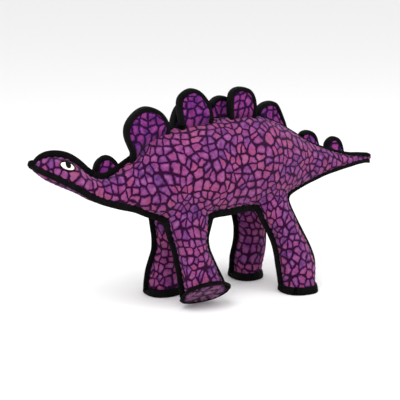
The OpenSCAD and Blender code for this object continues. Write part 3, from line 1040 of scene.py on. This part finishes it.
def plate_outline(name):
    """The edge of a plate at half its thickness, from one end of its base over its crown to the other."""
    node = name + "_plate"
    low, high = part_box(node)
    centre = (low + high) / 2
    tree = BVHTree.FromPolygons(
        [v.co for v in nodes[node].data.vertices],
        [p.vertices for p in nodes[node].data.polygons],
    )
    line = []
    for degrees in range(-90, 270, 4):
        angle = math.radians(degrees)
        away = Vector((math.cos(angle), 0, math.sin(angle)))
        line.append(tree.ray_cast(centre, away)[0])
    quarter = len(line) // 4
    reach = [(p - centre).length for p in line]
    front = max(range(quarter), key=lambda i: reach[i])
    back = max(range(3 * quarter, len(line)), key=lambda i: reach[i])
    return line[front:back + 1]


def root_of(outline, depth):
    """The way from the base of a plate down into the cover, leaning in under the ridge."""
    return Vector((0, -outline[0].y * ROOT_LEAN, -depth))


def root_plate(co, outline, root):
    """The foot of a plate runs down inside the cover."""
    back, front = outline[0], outline[-1]
    slices = np.linspace(front.x + 2 * MM, back.x - 2 * MM, 24)
    lowest = [co[np.abs(co[:, 0] - x) < 2 * MM, 2].min() for x in slices]
    base = np.interp(co[:, 0], [front.x, *slices, back.x], [front.z, *lowest, back.z])
    share = smooth_step((base + 4 * MM - co[:, 2]) / (3 * MM))
    co += share[:, None] * np.array(root)


def edge_bar(name, outline, root, half_w, material):
    """The tape round a plate, turned over both its faces."""
    feet_of_tape = [outline[0] + root, outline[-1] + root]
    line = eased(evenly([feet_of_tape[0]] + outline + [feet_of_tape[1]], 2 * MM), 3)
    points = [Vector(p) for p in line]
    last = len(points) - 1
    stations = []
    for index, point in enumerate(points):
        ahead = points[min(index + 1, last)] - points[max(index - 1, 0)]
        out = Vector((ahead.z, 0, -ahead.x)).normalized()
        stations.append((point - out * 0.3 * MM, Vector((0, 1, 0)), out, half_w, 2.6 * MM))
    piece = swept(name, stations)
    finish_piece(piece, material)
    return piece


def plate(name, offset, cloth_material, tape_material):
    node = name + "_plate"
    low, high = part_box(node)
    outline = plate_outline(name)
    root = root_of(outline, PLATE_ROOT * (high.z - low.z))
    piece = fused(node + "_cover", [node], PLATE_VOXEL, 3)
    co = points_of(piece)
    write_vectors(piece, "rest_place", co)
    print_plate(piece, offset)
    root_plate(co, outline, root)
    move_points(piece, co)
    edge = place_tree([Vector((p.x, 0, p.z)) for p in outline])
    sewn = [i for i, p in enumerate(points_of(piece)) if edge.find((p[0], 0, p[2]))[2] < PLATE_SEWN_REACH]
    stuffed(piece, sewn, PLATE_PRESSURE, PLATE_SWELL)
    soften(piece, 2)
    refine(piece)
    finish_piece(smooth_shaded(piece), cloth_material)
    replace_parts(piece, node)
    tape = edge_bar(node + "_tape", outline, root, (high.y - low.y) / 2 + 0.7 * MM, tape_material)
    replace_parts(tape, node + "_band")
    zone = "body"
    if name == "neck":
        zone = "head_and_neck"
    if name.startswith("tail"):
        zone = "tail"
    attach(piece, zone)
    attach(tape, zone)


# ---------------------------------------------------------------- Eyes

def eye_axes(node):
    """The middle of a patch seen from the side, and its long and short half axes."""
    flat = np.array([(v.co.x, v.co.z) for v in nodes[node].data.vertices])
    low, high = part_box(node)
    middle = Vector(((low.x + high.x) / 2, (low.y + high.y) / 2, (low.z + high.z) / 2))
    spread = flat - (middle.x, middle.z)
    axes = np.linalg.svd(spread)[2]
    reach = np.abs(spread @ axes.T).max(axis=0)
    return middle, axes, reach


def on_head(skin, x, z, side):
    """The place on one side of the head at x and z, and the way out of it."""
    return skin.ray_cast(Vector((x, side * 0.1, z)), Vector((0, -side, 0)), 0.1)[:2]


def patch(name, node, thickness, side, skin, material, trim, lift=0.0):
    """A padded patch of felt, laid on the side of the head."""
    middle, axes, reach = eye_axes(node)
    middle.z += lift
    bm = bmesh.new()
    bmesh.ops.create_uvsphere(bm, u_segments=40, v_segments=16, radius=1)
    for vert in bm.verts:
        u, v, w = vert.co
        flat = axes[0] * u * reach[0] + axes[1] * v * reach[1] * trim
        hit, normal = on_head(skin, middle.x + flat[0], middle.z + flat[1], side)
        vert.co = hit + normal * w * thickness
    bmesh.ops.recalc_face_normals(bm, faces=bm.faces)
    piece = smooth_shaded(new_piece(name, bm))
    finish_piece(piece, material)
    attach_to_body(piece, "head_and_neck")
    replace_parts(piece, node)


def eye_thread(name, node, side, skin, material):
    """The dark satin stitch round an eye."""
    middle, axes, reach = eye_axes(node)
    stations = []
    for turn in range(THREAD_POINTS):
        angle = 2 * math.pi * turn / THREAD_POINTS
        long, short = reach[0] + 0.4 * MM, reach[1] * EYE_TRIM + 0.4 * MM
        flat = axes[0] * math.cos(angle) * long + axes[1] * math.sin(angle) * short
        hit, normal = on_head(skin, middle.x + flat[0], middle.z + flat[1], side)
        out = Vector((flat[0], 0, flat[1])).normalized()
        across = (out - normal * out.dot(normal)).normalized()
        stations.append((hit + normal * 0.3 * MM, across, normal, 0.7 * MM, 0.6 * MM))
    piece = swept(name, stations, closed=True)
    finish_piece(piece, material)
    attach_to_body(piece, "head_and_neck")


def felt(name, colour, roughness, nap_scale):
    """Plain matt cloth with a fine nap."""
    f = Finish(name)
    where = f.add("TexCoord").outputs["Object"]
    nap = f.feed(f.add("TexNoise"), Vector=where, Scale=nap_scale, Detail=3.0).outputs["Fac"]
    # The nap's tone varies at random, and is painted darker in the hollows of its bump: painted shade.
    nap_hollow_shade = tuple(c * 0.8 for c in colour[:3]) + (1,)
    f.feed(
        f.shader,
        Base_Color=f.ramp(nap, [(0.3, nap_hollow_shade), (0.7, colour)]),
        Roughness=roughness,
        Normal=f.bump(nap, 0.0002, 0.6),
    )
    f.shader.inputs["Specular IOR Level"].default_value = 0.1
    return f.material


# ---------------------------------------------------------------- Stage

def stage():
    bm = bmesh.new()
    bmesh.ops.create_grid(bm, x_segments=1, y_segments=1, size=6)
    floor = new_piece("floor", bm)
    f = Finish("pale_floor")
    f.feed(f.shader, Base_Color=(0.9, 0.9, 0.9, 1), Roughness=0.9)
    floor.data.materials.append(f.material)

    world = bpy.data.worlds.new("studio")
    world.use_nodes = True
    back = world.node_tree.nodes["Background"]
    back.inputs["Color"].default_value = (1, 1, 1, 1)
    back.inputs["Strength"].default_value = 0.95
    scene.world = world
    scene.view_settings.view_transform = "Standard"

    def softbox(name, azimuth, elevation, distance, size, power):
        lamp = bpy.data.lights.new(name, "AREA")
        lamp.size = size
        lamp.energy = power
        light = bpy.data.objects.new(name, lamp)
        scene.collection.objects.link(light)
        a, e = math.radians(azimuth), math.radians(elevation)
        away = Vector((math.sin(a) * math.cos(e), -math.cos(a) * math.cos(e), math.sin(e)))
        light.location = Vector((0, 0, 0.1)) + away * distance
        light.rotation_euler = away.to_track_quat("Z", "Y").to_euler()

    softbox("key", -50, 55, 1.6, 1.0, 16)
    softbox("fill", 40, 35, 1.8, 1.2, 9)


def camera():
    """Three-quarter view from the front left, a little above."""
    aim = Vector((-8.6, 17.7, 106.6)) * MM
    distance = 1.3327
    azimuth, elevation = math.radians(-28), math.radians(14)
    away = Vector((
        math.sin(azimuth) * math.cos(elevation),
        -math.cos(azimuth) * math.cos(elevation),
        math.sin(elevation),
    ))
    lens = bpy.data.cameras.new("camera")
    lens.lens = 106.9
    lens.sensor_width = 36
    lens.clip_start = 0.01
    viewer = bpy.data.objects.new("camera", lens)
    scene.collection.objects.link(viewer)
    viewer.location = aim + away * distance
    viewer.rotation_euler = away.to_track_quat("Z", "Y").to_euler()
    scene.camera = viewer


# ---------------------------------------------------------------- The toy

stage()
camera()

BODY_PRINT = scale_fleece(
    "scale_fleece",
    srgb(42, 4, 38),
    srgb(82, 30, 92),
    [
        (0.1, srgb(78, 40, 100)), (0.35, srgb(104, 50, 112)), (0.55, srgb(128, 56, 112)),
        (0.75, srgb(142, 60, 104)), (0.95, srgb(152, 74, 106)),
    ],
    srgb(150, 88, 140),
)
PLATE_PRINT = scale_fleece(
    "plate_fleece",
    srgb(34, 3, 42),
    srgb(66, 16, 82),
    [(0.2, srgb(82, 30, 108)), (0.5, srgb(108, 36, 106)), (0.8, srgb(128, 46, 104))],
    srgb(146, 66, 138),
    9 * MM,
)
SOLE_PRINT = scale_fleece(
    "sole_fleece",
    srgb(50, 22, 48),
    srgb(86, 46, 88),
    [(0.2, srgb(100, 60, 104)), (0.5, srgb(118, 66, 104)), (0.8, srgb(138, 82, 116))],
    srgb(152, 100, 138),
    16 * MM,
)
TAPE = ribbed_webbing("webbing")
EYE_WHITE = felt("eye_white", srgb(250, 243, 230), 0.8, 1500)
EYE_BLACK = felt("eye_black", srgb(6, 5, 6), 0.7, 1500)

skin = cover()
seams = trunk_seams(tree_of(skin))
soles = {limb: sole_plane(limb, tree_of(skin)) for limb in LIMBS}
feet = {limb: foot_seam(soles[limb], tree_of(skin)) for limb in LIMBS}
sewn_line = [p for seam in seams.values() for p in seam.points]
sewn_line += [p for rim in feet.values() for p in rim[2]]
stuffed(skin, sewn_points(skin, place_tree(sewn_line), SEWN_REACH), COVER_PRESSURE, COVER_SWELL)
soften(skin, 2)
for limb in LIFTED_SOLE:
    flatten_sole(skin, limb, soles[limb])
lay_print(skin, cut_panels(skin, seams, feet))
refine(skin)
shape_stuffing(skin, place_tree(sewn_line))

skin_tree = tree_of(skin)
for seam in seams.values():
    seam.lay(skin_tree)
feet = {limb: foot_seam(soles[limb], skin_tree) for limb in LIMBS}

labels = cut_panels(skin, seams, feet)
STANDS_FOR = {
    "body_left_side": ["left_side_panel", "body_stuffing"],
    "body_right_side": ["right_side_panel"],
    "body_under": ["belly_panel"],
    "head_and_neck_left_side": ["head_left_panel", "head_stuffing"],
    "head_and_neck_right_side": ["head_right_panel"],
    "head_and_neck_under": ["chin_panel"],
    "tail_left_side": ["tail_left_panel", "tail_stuffing"],
    "tail_right_side": ["tail_right_panel"],
    "tail_under": ["tail_under_panel"],
}
for limb in LIMBS:
    STANDS_FOR[limb + "_leg_outer"] = [limb + "_leg_cover", limb + "_leg_stuffing"]
    STANDS_FOR[limb + "_sole"] = [limb + "_sole"]

for label in sorted(set(labels)):
    material, slot_name = BODY_PRINT, "scale_fleece"
    if label.endswith("_sole"):
        material, slot_name = SOLE_PRINT, "sole_fleece"
    piece = panel_piece(label + "_cloth", skin, labels, label)
    finish_piece(piece, material)
    if label in STANDS_FOR:
        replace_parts(piece, *STANDS_FOR[label])
    attach(piece, zone_of_panel(label))

SEAM_STANDS_FOR = {
    "ridge": {"head_and_neck": "crown_binding", "body": "spine_binding", "tail": "tail_binding"},
}
for side in SIDES:
    SEAM_STANDS_FOR[side + "_chest"] = {"head_and_neck": side + "_mouth_binding"}
    SEAM_STANDS_FOR[side + "_arch"] = {"body": side + "_belly_binding"}
for name, seam in seams.items():
    seam_webbing(name + "_webbing", seam, soles, TAPE, SEAM_STANDS_FOR.get(name, {}))
snout_webbing(seams["ridge"], TAPE)
for limb in LIMBS:
    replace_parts(foot_webbing(limb, feet[limb], TAPE), limb + "_leg_binding")

for index, name in enumerate(PLATES):
    plate(name, (0.031 * index, 0.017 * index), PLATE_PRINT, TAPE)

for side, sign in SIDES.items():
    patch(
        side + "_eye_felt", side + "_eye_white", 1.0 * MM, sign,
        skin_tree, EYE_WHITE, EYE_TRIM,
    )
    patch(
        side + "_pupil_felt", side + "_eye_pupil", 1.6 * MM, sign,
        skin_tree, EYE_BLACK, 1.0, -0.8 * MM,
    )
    eye_thread(side + "_eye_thread", side + "_eye_white", sign, skin_tree, EYE_BLACK)

bpy.data.objects.remove(skin)

for node, colour, roughness in (
    ("squeaker_pouch", srgb(225, 222, 214), 0.9),
    ("squeaker_bulb", srgb(236, 232, 220), 0.4),
    ("squeaker_reed", srgb(236, 232, 220), 0.4),
):
    nodes[node].data.materials.clear()
    nodes[node].data.materials.append(felt(node + "_finish", colour, roughness, 900))
